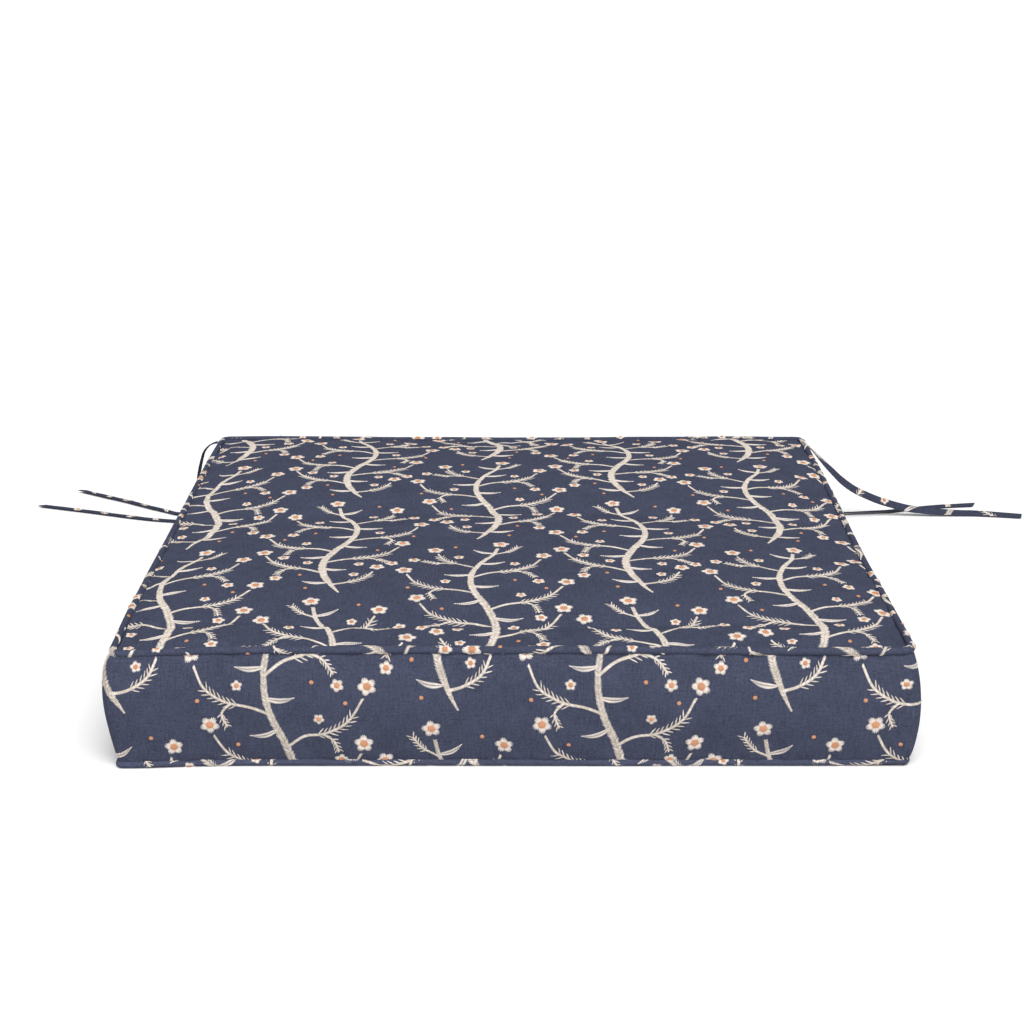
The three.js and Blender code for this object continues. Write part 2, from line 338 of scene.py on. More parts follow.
def flowing(stops, count):
    """Points along one smooth curve through the stops, with as many in each span as in the next."""
    stops = np.asarray(stops, float)
    gaps = np.sqrt(np.linalg.norm(np.diff(stops, axis=0), axis=1))[:, None]
    slopes = np.diff(stops, axis=0) / gaps
    pulls = np.empty_like(stops)
    pulls[0], pulls[-1] = slopes[0], slopes[-1]
    before, after = gaps[:-1], gaps[1:]
    pulls[1:-1] = (slopes[:-1] * after + slopes[1:] * before) / (before + after)
    places = np.linspace(0, len(stops) - 1, count)
    span = np.minimum(places.astype(int), len(stops) - 2)
    share = (places - span)[:, None]
    rest = 1 - share
    return (
        stops[span] * rest**2 * (1 + 2 * share)
        + stops[span + 1] * share**2 * (3 - 2 * share)
        + pulls[span] * gaps[span] * share * rest**2
        - pulls[span + 1] * gaps[span] * share**2 * rest
    )


def run_lengths(points):
    """How far along a line of points each of them lies."""
    steps = np.linalg.norm(np.diff(points, axis=0), axis=1)
    return np.concatenate([[0], np.cumsum(steps)])


def add_piece(name, points, faces, finish, spots):
    """A smooth mesh object. spots holds each face corner's place on its cloth, in metres."""
    mesh = bpy.data.meshes.new(name)
    mesh.from_pydata(np.asarray(points).tolist(), [], [list(face) for face in faces])
    mesh.uv_layers.new(name="UVMap").uv.foreach_set("vector", np.asarray(spots).ravel())
    mesh.shade_smooth()
    mesh.materials.append(finish)
    piece = bpy.data.objects.new(name, mesh)
    scene.collection.objects.link(piece)
    return piece


def grid_faces(rows, columns, closed=False):
    """Quads between neighbouring points of a grid stored row by row."""
    row = np.arange(rows - 1)[:, None]
    column = np.arange(columns if closed else columns - 1)[None, :]
    following = (column + 1) % columns
    here = row * columns + column
    beside = row * columns + following
    quads = np.stack([here, beside, beside + columns, here + columns], axis=-1)
    return quads.reshape(-1, 4)


class TieRun:
    """One tie's line, and the directions across it and out of its face, all the way along."""

    def __init__(self, route):
        column = dict(zip(TIE_COLUMNS, np.array(route, float).T))
        stops = np.stack([column["x"], column["y"], column["z"]], axis=1) * mm
        middle = flowing(stops, TIE_POINTS)
        inward = middle[0] - middle[1]
        tucked = middle[0] + inward / np.linalg.norm(inward) * TIE_TUCK
        self.middle = np.vstack([tucked, middle])
        self.along = run_lengths(self.middle)
        self.length = self.along[-1]
        heading = np.gradient(self.middle, axis=0)
        heading /= np.linalg.norm(heading, axis=1)[:, None]
        share = np.concatenate([[0], np.linspace(0, len(route) - 1, TIE_POINTS)])
        places = np.arange(len(route))
        turn = np.radians(np.interp(share, places, column["turn"]))
        lean = np.radians(np.interp(share, places, column["lean"]))
        across = np.stack([-np.sin(turn), np.cos(turn), np.tan(lean)], axis=1)
        across -= heading * (across * heading).sum(axis=1)[:, None]
        self.across = across / np.linalg.norm(across, axis=1)[:, None]
        self.face = np.cross(heading, self.across)
        self.face *= np.sign(self.face[-1, 2])

    def place(self, along, across, out):
        """Where a point of the strip lies, from its distances along, across and out of it."""

        def read(table):
            return np.stack([np.interp(along, self.along, table[:, i]) for i in range(3)], axis=-1)

        sideways = read(self.across) * across[..., None]
        return read(self.middle) + sideways + read(self.face) * out[..., None]


def half_thickness(across):
    """The folded strip's half thickness: full in the middle and rounded off at its edges."""
    share = np.clip(np.abs(across) / (TIE_WIDTH / 2), 0, 1)
    return TIE_THICKNESS / 2 * (1 - share**TIE_EDGE_POWER) ** 0.5


# The ties' cloth is the cover cloth made darker: painted shade
tie_finish = woven_finish("tie_cloth", 0.80)
tie_runs = {}
for name, route in TIE_ROUTES.items():
    run = TieRun(route)
    tie_runs[name] = run
    around = np.linspace(0, 2 * math.pi, TIE_SIDES, endpoint=False)
    across = TIE_WIDTH / 2 * np.sign(np.cos(around)) * np.abs(np.cos(around)) ** TIE_CROWDING
    out = half_thickness(across) * np.sign(np.sin(around))
    rows = np.linspace(0, run.length, TIE_ROWS)
    ending = np.clip(1 - (run.length - rows) / TIE_SLANT_LENGTH, 0, 1)
    slant = TIE_SLANTS[name] * ending[:, None] * across[None, :]
    cut_back = abs(TIE_SLANTS[name]) * TIE_WIDTH / 2 * ending[:, None]
    along = np.clip(rows[:, None] + slant - cut_back, 0, run.length)
    rise = TIE_WAVER * np.sin(along * 190 + across * 360)
    points = run.place(along, across * np.ones_like(along), out + rise).reshape(-1, 3)
    points[:, 2] = np.maximum(points[:, 2], FLOOR_CLEARANCE)
    faces = [list(face) for face in grid_faces(TIE_ROWS, TIE_SIDES, closed=True)]
    girth = np.broadcast_to(np.arange(TIE_SIDES) * 1.2 * mm, along.shape)
    spots = np.stack([along, girth], axis=-1).reshape(-1, 2)
    faces.append(list(range(TIE_SIDES))[::-1])
    last = (TIE_ROWS - 1) * TIE_SIDES
    faces.append([last + i for i in range(TIE_SIDES)])
    corners = np.concatenate([spots[face] for face in faces])
    tie = add_piece(name + "_cloth", points, faces, tie_finish, corners)
    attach(tie, "root")
    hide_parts(name)

# The cover.
# A top panel, a boxing strip and an underside of navy slub linen, sewn together over a foam
# pad. The pad fills the cover, so the top is crowned and the boxing swells between its seams,
# and the stitching draws small puckers into the cloth beside each seam.
SEAM_HALF = 252 * mm  # middle of the cushion to the seam
UPPER_CORNER = 7 * mm  # radius of the upper seam at its corners
LOWER_CORNER = 3 * mm
LOWER_SEAM = 2.5 * mm
UPPER_SEAM = 79.5 * mm
BOXING_BULGE = 7 * mm
CORNER_BULGE = 0.6 * mm
UPPER_TUCK = 0.9 * mm  # how far the boxing is drawn in where it meets the piping
LOWER_TUCK = 0.1 * mm
TUCK_PLACE = 1.2 * mm
TUCK_REACH = 1.8 * mm
CROWN_EDGE = 2 * mm
CROWN_EDGE_REACH = 18 * mm
CROWN_MIDDLE = 6.5 * mm
CROWN_POWER = 2.5
UNDERSIDE_LIFT = 0.9 * mm  # the height of its own embroidery, which it rests on
UNDERSIDE_EDGE = 6 * mm  # how far from the seam the underside comes down to rest
SETTLED_STEPS = 60  # grid of the simulated cloth, along one side
SETTLED_ROWS = 9
FINE_STEPS = 180
CORNER_STRETCH = 12 * mm  # at each end of a side, where the grid is closer
CORNER_SHARE = 0.09  # of the steps along a side, for both of its ends
FINE_ROWS = 36
ROW_CROWDING = 0.6  # how much closer the rows of the boxing lie near its seams
ROUND = 8 * SEAM_HALF  # the seam's length before its corners are rounded
PUCKER_DEPTH = 0.5 * mm
PUCKER_REACH = 8 * mm
PUCKER_START = 2.5 * mm  # from the seam
SEAM_FADE = 22 * mm  # how far the seam's waver carries into the cloth
DENT_FADE = 60 * mm
FOLD_START = 20 * mm  # from the seam to where the folds of the top are at their full height
FOLD_DEPTH = 0.75 * mm
SEAM_WAVER = 0.45 * mm
UPPER_SEED = 11
LOWER_SEED = 31


def ripple(place, lengths, seed):
    """Uneven waves round the cushion, of about the given lengths, between -1 and 1."""
    dice = np.random.default_rng(seed)
    total = np.zeros_like(place)
    for length in lengths:
        waves = max(1, round(ROUND / length * dice.uniform(0.85, 1.15)))
        strength = dice.uniform(0.6, 1.0)
        total += strength * np.sin(place / ROUND * waves * math.tau + dice.uniform(0, math.tau))
    return total / len(lengths)


def strip_line(rows):
    """Shares of the way down the boxing, closer together towards its seams."""
    even = np.linspace(0, 1, rows + 1)
    return even - ROW_CROWDING * np.sin(even * math.tau) / math.tau


def side_line(steps):
    """Places along one side of the square, closer together towards its corners."""
    inner = SEAM_HALF - CORNER_STRETCH
    turns = [-1, CORNER_SHARE - 1, 1 - CORNER_SHARE, 1]
    return np.interp(np.linspace(-1, 1, steps + 1), turns, [-SEAM_HALF, -inner, inner, SEAM_HALF])


def seam_places(steps):
    """Distances round the seam of its grid points, from the middle of the back, leftwards."""
    number = np.arange(4 * steps) / steps
    side = np.round(number)
    line = side_line(steps)
    return side * ROUND / 4 + np.interp((number - side) * 2, np.linspace(-1, 1, steps + 1), line)


def corner_turn(x, y, radius):
    """How far a place of the square panel lies round a corner, across and along, 0 to 1."""
    across = np.clip((np.abs(x) - SEAM_HALF + radius) / radius, 0, 1)
    along = np.clip((np.abs(y) - SEAM_HALF + radius) / radius, 0, 1)
    return across * np.sqrt(1 - along**2 / 2), along * np.sqrt(1 - across**2 / 2)


def rounded(x, y, radius):
    """Where a place of the square cut panel lies once its corners are rounded."""
    inner = SEAM_HALF - radius
    across, along = corner_turn(x, y, radius)
    round_x = np.where(np.abs(x) > inner, np.sign(x) * (inner + radius * across), x)
    round_y = np.where(np.abs(y) > inner, np.sign(y) * (inner + radius * along), y)
    return round_x, round_y


def seam_square(place):
    """The square seam line at a distance round it, from the middle of the back, leftwards."""
    quarter = ROUND / 4
    shifted = (place + quarter / 2) % ROUND
    side = np.floor(shifted / quarter).astype(int) % 4
    within = shifted - side * quarter - quarter / 2
    half = np.full_like(within, SEAM_HALF)
    x = np.choose(side, [-within, -half, within, half])
    y = np.choose(side, [half, -within, -half, within])
    return x, y


def seam_place(x, y):
    """How far round the seam the nearest seam point lies, seen from the middle."""
    reach = np.maximum(np.maximum(np.abs(x), np.abs(y)), 1e-9)
    x, y = x / reach * SEAM_HALF, y / reach * SEAM_HALF
    quarter = ROUND / 4
    back = -x
    left = quarter - y
    front = 2 * quarter + x
    right = 3 * quarter + y
    on_side = [y >= SEAM_HALF * 0.999999, x <= -SEAM_HALF * 0.999999, y <= -SEAM_HALF * 0.999999]
    return np.select(on_side, [back, left, front], right) % ROUND


def seam_outward(x, y, radius):
    """The level direction straight out of the seam."""
    across, along = corner_turn(x, y, radius)
    out_x, out_y = np.sign(x) * across, np.sign(y) * along
    size = np.maximum(np.hypot(out_x, out_y), 1e-9)
    return out_x / size, out_y / size


def crown_height(x, y):
    """How high the top panel stands over its seam."""
    across = np.minimum(np.abs(x) / SEAM_HALF, 1)
    along = np.minimum(np.abs(y) / SEAM_HALF, 1)
    inset = SEAM_HALF * (1 - np.maximum(across, along))
    edge = 1 - (1 - np.minimum(inset / CROWN_EDGE_REACH, 1)) ** 2
    middle = (1 - across**CROWN_POWER) * (1 - along**CROWN_POWER)
    return CROWN_EDGE * edge + CROWN_MIDDLE * middle


def panel_grid(steps):
    """The square panel's own places, row by row from front to back."""
    return np.meshgrid(side_line(steps), side_line(steps))


def drawn_in(share):
    """How the boxing dips just past a seam, from its share of the way across the boxing."""
    return np.exp(-(((share * (UPPER_SEAM - LOWER_SEAM) - TUCK_PLACE) / TUCK_REACH) ** 2))


# How the boxing swells: it is fullest above its middle where rise is under 1, and a smaller
# edge makes it rounder beside its seams. round is from the middle of the back, leftwards.
SWELLS = [
    {"round": 0, "rise": 0.63, "edge": 1.0},
    {"round": 880, "rise": 0.63, "edge": 0.95},
    {"round": 1130, "rise": 0.75, "edge": 0.8},
    {"round": 1240, "rise": 1.1, "edge": 0.6},
    {"round": 1340, "rise": 1.1, "edge": 0.6},
    {"round": 1640, "rise": 0.63, "edge": 1.0},
    {"round": 2016, "rise": 0.63, "edge": 1.0},
]


def swelling(place, down):
    """How far the boxing stands out of its seams, as a share of its fullest swell."""
    rounds = [swell["round"] * mm for swell in SWELLS]
    rise = np.interp(place, rounds, [swell["rise"] for swell in SWELLS])
    edge = np.interp(place, rounds, [swell["edge"] for swell in SWELLS])
    return np.clip(np.sin(math.pi * down**rise), 0, 1) ** edge


def cover_shape(steps, rows):
    """Points of the top, the boxing (upper seam first) and the underside."""
    flat_x, flat_y = panel_grid(steps)
    x, y = rounded(flat_x, flat_y, UPPER_CORNER)
    top = np.stack([x, y, UPPER_SEAM + crown_height(flat_x, flat_y)], axis=-1)
    inset = SEAM_HALF - np.maximum(np.abs(flat_x), np.abs(flat_y))
    rise = np.clip(inset / UNDERSIDE_EDGE, 0, 1)
    lift = UNDERSIDE_LIFT + (LOWER_SEAM - UNDERSIDE_LIFT) * (1 - rise) ** 2
    x, y = rounded(flat_x, flat_y, LOWER_CORNER)
    under = np.stack([x, y, lift], axis=-1)
    square_x, square_y = seam_square(seam_places(steps))
    down = strip_line(rows)[:, None]
    radius = UPPER_CORNER + (LOWER_CORNER - UPPER_CORNER) * down
    seam_x, seam_y = rounded(square_x, square_y, radius)
    out_x, out_y = seam_outward(square_x, square_y, radius)
    across, along = corner_turn(square_x, square_y, radius)
    bulge = BOXING_BULGE + CORNER_BULGE * 2 * across * along
    tuck = UPPER_TUCK * drawn_in(down) + LOWER_TUCK * drawn_in(1 - down)
    swell = bulge * swelling(seam_places(steps), down) - tuck
    height = UPPER_SEAM + (LOWER_SEAM - UPPER_SEAM) * down
    boxing = np.stack([seam_x + out_x * swell, seam_y + out_y * swell, height + 0 * swell], axis=-1)
    return top, boxing, under


def cover_faces(steps, rows):
    """Faces of the closed cover, whose panels share their seam points, and their spots."""
    line = np.arange(steps + 1)
    square = (line[:, None] * (steps + 1) + line[None, :]).astype(int)
    top_count = square.size
    under_square = square + top_count
    seam_x, seam_y = seam_square(seam_places(steps))
    column = np.rint(np.interp(seam_x, side_line(steps), line)).astype(int)
    row = np.rint(np.interp(seam_y, side_line(steps), line)).astype(int)
    middle_count = (rows - 1) * 4 * steps
    middle = 2 * top_count + np.arange(middle_count).reshape(rows - 1, 4 * steps)
    strip = np.vstack([square[row, column], middle, under_square[row, column]])
    after = np.roll(strip, -1, axis=1)

    def quads(table):
        return np.stack([table[:-1, :-1], table[:-1, 1:], table[1:, 1:], table[1:, :-1]], axis=-1)

    boxing_quads = np.stack([strip[:-1], strip[1:], after[1:], after[:-1]], axis=-1)
    faces = [quads(square), quads(under_square)[..., ::-1], boxing_quads]
    side = side_line(steps) + SEAM_HALF
    flat_u, flat_v = np.meshgrid(side, side)
    spots = []
    for spot_u in (flat_u, 2 * SEAM_HALF - flat_u):
        corners = [quads(spot_u), quads(flat_v)]
        spots.append(np.stack(corners, axis=-1))
    spots[1] = spots[1][:, :, ::-1]
    round_u = np.append(seam_places(steps), ROUND)
    height_v = (UPPER_SEAM - LOWER_SEAM) * (1 - strip_line(rows))
    strip_u, strip_v = np.meshgrid(round_u, height_v)
    corners = [
        np.stack([table[:-1, :-1], table[1:, :-1], table[1:, 1:], table[:-1, 1:]], axis=-1)
        for table in (strip_u, strip_v)
    ]
    spots.append(np.stack(corners, axis=-1))
    faces = np.concatenate([group.reshape(-1, 4) for group in faces])
    spots = np.concatenate([group.reshape(-1, 4, 2) for group in spots])
    return faces, spots, (row, column)


def cover_points(top, boxing, under):
    """One list of the closed cover's points, in the order that its faces use."""
    return np.concatenate([top.reshape(-1, 3), under.reshape(-1, 3), boxing[1:-1].reshape(-1, 3)])


CLOTH_FRAMES = 16
CLOTH_PRESSURE = 1.2
CLOTH_SLACK = 0.006
CLOTH_CAP = 2.4 * mm


def settle(points, faces, held):
    """Blows the loose cover up against its held seams, and gives back how each point moved."""
    mesh = bpy.data.meshes.new("cover_settling")
    mesh.from_pydata(points.tolist(), [], faces.tolist())
    loose = bpy.data.objects.new("cover_settling", mesh)
    scene.collection.objects.link(loose)
    group = loose.vertex_groups.new(name="seams")
    group.add([int(index) for index in held], 1.0, "REPLACE")
    cloth = loose.modifiers.new("cloth", "CLOTH")
    settings = cloth.settings
    settings.quality = 6
    settings.mass = 0.3
    settings.tension_stiffness = 30
    settings.compression_stiffness = 30
    settings.shear_stiffness = 12
    settings.bending_stiffness = 0.6
    settings.use_pressure = True
    settings.uniform_pressure_force = CLOTH_PRESSURE
    settings.shrink_min = -CLOTH_SLACK
    settings.vertex_group_mass = "seams"
    settings.effector_weights.gravity = 0
    for number in range(1, CLOTH_FRAMES + 1):
        scene.frame_set(number)
    settled = loose.evaluated_get(bpy.context.evaluated_depsgraph_get())
    moved = np.empty(len(points) * 3)
    settled.data.vertices.foreach_get("co", moved)
    bpy.data.objects.remove(loose, do_unlink=True)
    bpy.data.meshes.remove(mesh)
    scene.frame_set(1)
    return moved.reshape(-1, 3) - points


def finer(table, times, closed=False):
    """A grid of values read more finely along its second axis, smoothly between its points."""
    count = table.shape[1]
    spans = count if closed else count - 1
    place = np.arange(spans * times + (0 if closed else 1)) / times
    base = np.floor(place).astype(int)
    share = (place - base).reshape(1, -1, *([1] * (table.ndim - 2)))

    def at(shift):
        index = base + shift
        index = index % count if closed else np.clip(index, 0, count - 1)
        return table[:, index]

    before, here, following, beyond = at(-1), at(0), at(1), at(2)
    cubic = 3 * (here - following) + beyond - before
    bend = 2 * before - 5 * here + 4 * following - beyond + share * cubic
    return here + 0.5 * share * (following - before + share * bend)


def finer_both(table, times_rows, times_columns, closed=False):
    """The same along both axes."""
    table = finer(table, times_columns, closed)
    return finer(table.swapaxes(0, 1), times_rows).swapaxes(0, 1)


def grid_normals(table, closed=False):
    """Unit normals of a grid of points."""
    if closed:
        across = np.roll(table, -1, axis=1) - np.roll(table, 1, axis=1)
    else:
        across = np.gradient(table, axis=1)
    normals = np.cross(across, np.gradient(table, axis=0))
    return normals / np.maximum(np.linalg.norm(normals, axis=-1), 1e-12)[..., None]


top, boxing, under = cover_shape(FINE_STEPS, FINE_ROWS)
rough_top, rough_boxing, rough_under = cover_shape(SETTLED_STEPS, SETTLED_ROWS)
rough_faces, _, (seam_rows, seam_columns) = cover_faces(SETTLED_STEPS, SETTLED_ROWS)
rough_points = cover_points(rough_top, rough_boxing, rough_under)
seam_index = seam_rows * (SETTLED_STEPS + 1) + seam_columns
panel_count = (SETTLED_STEPS + 1) ** 2
held = np.concatenate([seam_index, seam_index + panel_count])
moves = settle(rough_points, rough_faces, held)
sizes = np.linalg.norm(moves, axis=1)[:, None]
moves *= CLOTH_CAP * np.tanh(sizes / CLOTH_CAP) / np.maximum(sizes, 1e-9)
top_moves = moves[:panel_count].reshape(rough_top.shape)
boxing_moves = np.zeros_like(rough_boxing)
boxing_moves[1:-1] = moves[2 * panel_count :].reshape(rough_boxing[1:-1].shape)
times = FINE_STEPS // SETTLED_STEPS
top += finer_both(top_moves, times, times)
boxing += finer_both(boxing_moves, FINE_ROWS // SETTLED_ROWS, times, closed=True)

# Seam waver, puckers and soft folds go on over the settled shape
flat_x, flat_y = panel_grid(FINE_STEPS)
panel_place = seam_place(flat_x, flat_y)
panel_inset = SEAM_HALF - np.maximum(np.abs(flat_x), np.abs(flat_y))
strip_place = seam_places(FINE_STEPS)
strip_inset = (UPPER_SEAM - LOWER_SEAM) * strip_line(FINE_ROWS)[:, None]
WAVER_LENGTHS = [420, 260, 150, 90]
PUCKER_LENGTHS = [34, 25, 19, 14, 11]
FOLD_LENGTHS = [190, 130, 88, 60, 44]


# Where a seam lies off its true line: round is from the middle of the back, leftwards
SEAM_DENTS = {
    UPPER_SEED: [
        {"round": 0, "spread": 190, "right": 0, "front": 0.5, "up": -2.2},
        {"round": 252, "spread": 40, "right": 0, "front": 0, "up": -0.8},
        {"round": 758, "spread": 45, "right": 0, "front": 0, "up": -2.9},
        {"round": 1008, "spread": 400, "right": 0, "front": 0, "up": -0.5},
        {"round": 1190, "spread": 90, "right": 0, "front": 0, "up": -1.1},
        {"round": 1442, "spread": 110, "right": -2.0, "front": 0, "up": 0},
        {"round": 1764, "spread": 50, "right": 0, "front": 0, "up": -1.2},
    ],
    LOWER_SEED: [
        {"round": 760, "spread": 38, "right": 0.8, "front": 3.8, "up": 0},
        {"round": 1260, "spread": 60, "right": 0.8, "front": 0, "up": 0.6},
    ],
}


# Soft folds and short wrinkles that run from side to side on the top. y is to the back, from
# and length are shares of half its width, and bow is how far the ends turn to the back.
TOP_FOLDS = [
    {"y": -228, "from": 0.0, "length": 1.4, "bow": 0, "width": 62, "height": -1.5},
    {"y": -215, "from": -0.42, "length": 0.2, "bow": 0, "width": 5, "height": -1.3},
    {"y": -216, "from": -0.14, "length": 0.1, "bow": 0, "width": 5, "height": -1.2},
    {"y": -216, "from": 0.32, "length": 0.2, "bow": 0, "width": 5, "height": -1.3},
    {"y": -217, "from": 0.7, "length": 0.12, "bow": 0, "width": 5, "height": -1.1},
    {"y": -213, "from": -0.86, "length": 0.12, "bow": 0, "width": 5, "height": -1.1},
    {"y": -150, "from": 0.0, "length": 1.4, "bow": 10, "width": 50, "height": 1.0},
    {"y": 110, "from": 0.2, "length": 1.2, "bow": 15, "width": 50, "height": 1.0},
    {"y": 235, "from": 0.0, "length": 1.4, "bow": 0, "width": 70, "height": -1.4},
]

# Two long creases across the top, each a valley that rises over its own distance in front of
# the crease and behind it
TOP_CREASES = [
    {"y": -213, "bow": 0, "front": 4, "behind": 26, "depth": 3.4},
    {"y": 13, "bow": -19, "front": 36, "behind": 26, "depth": 4.8},
]
CREASE_SWAY = 4 * mm  # how far a crease wanders from its line
CREASE_BLUNT = 2.5 * mm  # half the width of a valley's rounded bottom
WRINKLE_COUNT = 150  # faint wrinkles strewn over the top
WRINKLE_REACH = (12 * mm, 32 * mm)  # half the length
WRINKLE_WIDTH = 5 * mm
WRINKLE_DEPTH = 0.5 * mm


def waver(place, seed):
    """How the seam wanders from its line."""
    return SEAM_WAVER * ripple(place, np.array(WAVER_LENGTHS) * mm, seed)


def dents(place, seed, way):
    """How far the seam's dents move it to the right, to the front or up."""
    total = np.zeros_like(place)
    for dent in SEAM_DENTS[seed]:
        away = (place - dent["round"] * mm + ROUND / 2) % ROUND - ROUND / 2
        total += dent[way] * mm * np.exp(-((away / (dent["spread"] * mm)) ** 2))
    return total


def puckers(place, inset, seed):
    """How far the stitching raises or draws in the cloth beside a seam."""
    depth = ripple(place, np.array(PUCKER_LENGTHS) * mm, seed)
    near = np.clip(inset / PUCKER_START, 0, 1) * np.exp(-inset / PUCKER_REACH)
    return PUCKER_DEPTH * 2.2 * depth * near


def seam_moves(place, inset, seed):
    """How the seam's unevenness carries into the cloth beside it."""
    square_x, square_y = seam_square(place)
    out_x, out_y = seam_outward(square_x, square_y, UPPER_CORNER)
    fade = np.exp(-inset / SEAM_FADE)
    wide_fade = np.exp(-inset / DENT_FADE)
    sideways = waver(place, seed) * fade
    right, front, up = (dents(place, seed, way) * wide_fade for way in ("right", "front", "up"))
    upwards = waver(place, seed + 1) * fade + up
    return np.stack([out_x * sideways + right, out_y * sideways - front, upwards], axis=-1)


top_folds = np.zeros_like(flat_x)
for fold in TOP_FOLDS:
    away = flat_y - fold["y"] * mm - fold["bow"] * mm * (flat_x / SEAM_HALF - fold["from"]) ** 2
    along = np.clip(1 - ((flat_x / SEAM_HALF - fold["from"]) / fold["length"]) ** 2, 0, 1)
    top_folds += fold["height"] * mm * along * np.exp(-((away / (fold["width"] * mm)) ** 2))
for crease in TOP_CREASES:
    line = crease["y"] * mm + crease["bow"] * mm * (flat_x / SEAM_HALF) ** 2
    away = flat_y - line - CREASE_SWAY * np.sin(flat_x * 33 + line * 40) * np.sin(flat_x * 14 + 1.0)
    reach = np.where(away > 0, crease["behind"], crease["front"]) * mm
    away = np.hypot(away, CREASE_BLUNT) - CREASE_BLUNT
    top_folds -= crease["depth"] * mm * np.exp(-away / reach) * (1 - (flat_x / SEAM_HALF) ** 6)
dice = np.random.default_rng(17)
for _ in range(WRINKLE_COUNT):
    x, y = dice.uniform(-0.9, 0.9, 2) * SEAM_HALF
    reach, depth = dice.uniform(*WRINKLE_REACH), dice.uniform(-WRINKLE_DEPTH, WRINKLE_DEPTH)
    crest = (flat_y - y - dice.uniform(-0.2, 0.2) * (flat_x - x)) / WRINKLE_WIDTH
    top_folds += depth * np.exp(-(crest**2) - ((flat_x - x) / reach) ** 2)
top_folds += 0.3 * mm * np.sin(flat_x * 31 + 2.0) * np.sin(flat_y * 24 + 0.6)
top += grid_normals(top) * (top_folds * np.clip(panel_inset / FOLD_START, 0, 1))[..., None]
top += grid_normals(top) * puckers(panel_place, panel_inset, 51)[..., None]
top += seam_moves(panel_place, panel_inset, UPPER_SEED)
under += seam_moves(panel_place, panel_inset, LOWER_SEED) * [1, 1, 0]
under[..., 2] += np.clip(waver(panel_place, LOWER_SEED + 1) * np.exp(-panel_inset / UNDERSIDE_EDGE), 0, 1)
down_share = strip_inset / strip_inset[-1]
folds = FOLD_DEPTH * 1.9 * ripple(strip_place, np.array(FOLD_LENGTHS) * mm, 71)
folds = folds * np.sin(down_share * math.pi)
folds = folds * (0.75 + 0.35 * np.sin(down_share * 5 + strip_place * 23))
boxing_out = -grid_normals(boxing, closed=True)
boxing += boxing_out * folds[..., None]
boxing += boxing_out * puckers(strip_place, strip_inset, 52)[..., None]
boxing += boxing_out * puckers(strip_place, strip_inset[-1] - strip_inset, 53)[..., None]
boxing += seam_moves(strip_place, strip_inset, UPPER_SEED)
lower_moves = seam_moves(strip_place, strip_inset[-1] - strip_inset, LOWER_SEED)
lower_moves[..., 2] = np.maximum(lower_moves[..., 2], 0)
boxing += lower_moves

cover_quads, cover_spots, _ = cover_faces(FINE_STEPS, FINE_ROWS)
cover_finish = woven_finish("cover_cloth", 1.0)
cover = add_piece(
    "cover", cover_points(top, boxing, under), cover_quads, cover_finish, cover_spots
)
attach(cover, "root")
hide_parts("cushion")

# The piping.
# A strip of the cover cloth cut on the bias, wrapped round a soft cord and caught in each
# seam all the way round. It stands a little proud of the panels and follows the seam's waver.
UPPER_PIPING = 2.5 * mm  # radius
LOWER_PIPING = 2.1 * mm  # pressed a little thinner under the weight of the cushion
PIPING_SIDES = 14
PIPING_STEPS = 1300


def seam_line(height, radius, seed):
    """Points of a seam with its waver, and the outward directions there."""
    place = seam_places(PIPING_STEPS // 4)
    square_x, square_y = seam_square(place)
    x, y = rounded(square_x, square_y, radius)
    out_x, out_y = seam_outward(square_x, square_y, radius)
    points = np.stack([x, y, np.full_like(x, height)], axis=-1)
    moves = seam_moves(place, np.zeros_like(place), seed)
    if height < UPPER_SEAM / 2:
        moves[..., 2] = np.maximum(moves[..., 2], 0)
    return points + moves, np.stack([out_x, out_y, np.zeros_like(x)], axis=-1)


class PipingRun:
    """One ring of piping, as a line with its outward directions all the way round."""

    def __init__(self, height, corner, seed, radius):
        self.radius = radius
        points, outward = seam_line(height, corner, seed)
        self.middle = np.vstack([points, points[:1]])
        self.outward = np.vstack([outward, outward[:1]])
        self.along = run_lengths(self.middle)
        self.length = self.along[-1]

    def place(self, along, turn, height):
        """A point on or over the tube, with its turn round it measured up from straight out."""

        def read(table):
            return np.stack([np.interp(along, self.along, table[:, i]) for i in range(3)], axis=-1)

        outward = read(self.outward)
        level = (np.cos(turn) * (self.radius + height))[..., None]
        rise = (np.sin(turn) * (self.radius + height))[..., None]
        return read(self.middle) + outward * level + np.array([0, 0, 1]) * rise


piping_runs = {}
